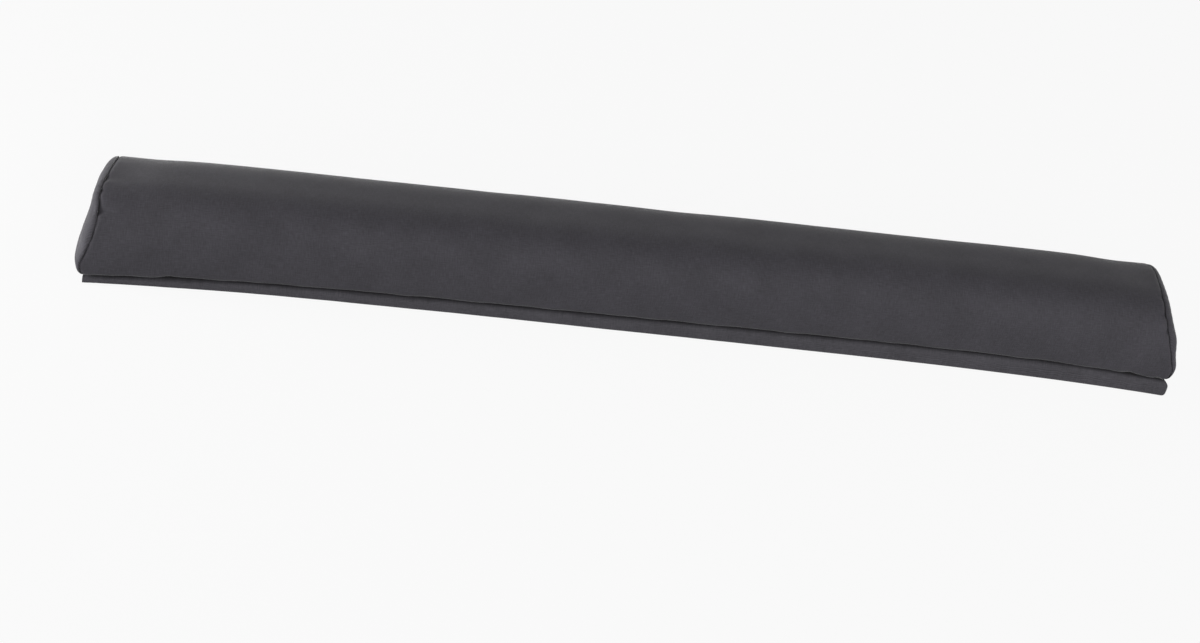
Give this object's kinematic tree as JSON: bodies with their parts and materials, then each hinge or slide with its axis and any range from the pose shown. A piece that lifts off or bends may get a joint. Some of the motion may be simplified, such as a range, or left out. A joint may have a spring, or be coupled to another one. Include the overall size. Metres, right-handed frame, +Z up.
{
  "type": "roof rack pad",
  "caption": "Long D-section foam pad in a sewn black cloth cover, with a cloth wrap under it that closes round a roof rack crossbar.",
  "frame": {"origin": "centre of the surface that the closed wrap lies on, under the middle of the pad", "axes": "+X along the pad, +Z up from the wrap to the crown, the front flap on the -Y side"},
  "size_m": [0.7062, 0.088, 0.062],
  "materials": {
    "cover_cloth": "black woven polyester, plain weave with a faint sheen",
    "wrap_cloth": "black woven polyester, folded double, matte",
    "hook_nylon": "black nylon hook tape, slightly shiny",
    "loop_nylon": "black nylon loop tape, brushed and matte",
    "foam": "dark grey closed-cell foam, matte"
  },
  "bodies": {
    "root": {"foam_core": "foam", "top_panel": "cover_cloth", "left_end_panel": "cover_cloth", "right_end_panel": "cover_cloth", "base_panel": "cover_cloth", "front_flap": "wrap_cloth", "rear_flap": "wrap_cloth", "hook_tape": "hook_nylon", "loop_tape": "loop_nylon"}
  },
  "joints": []
}
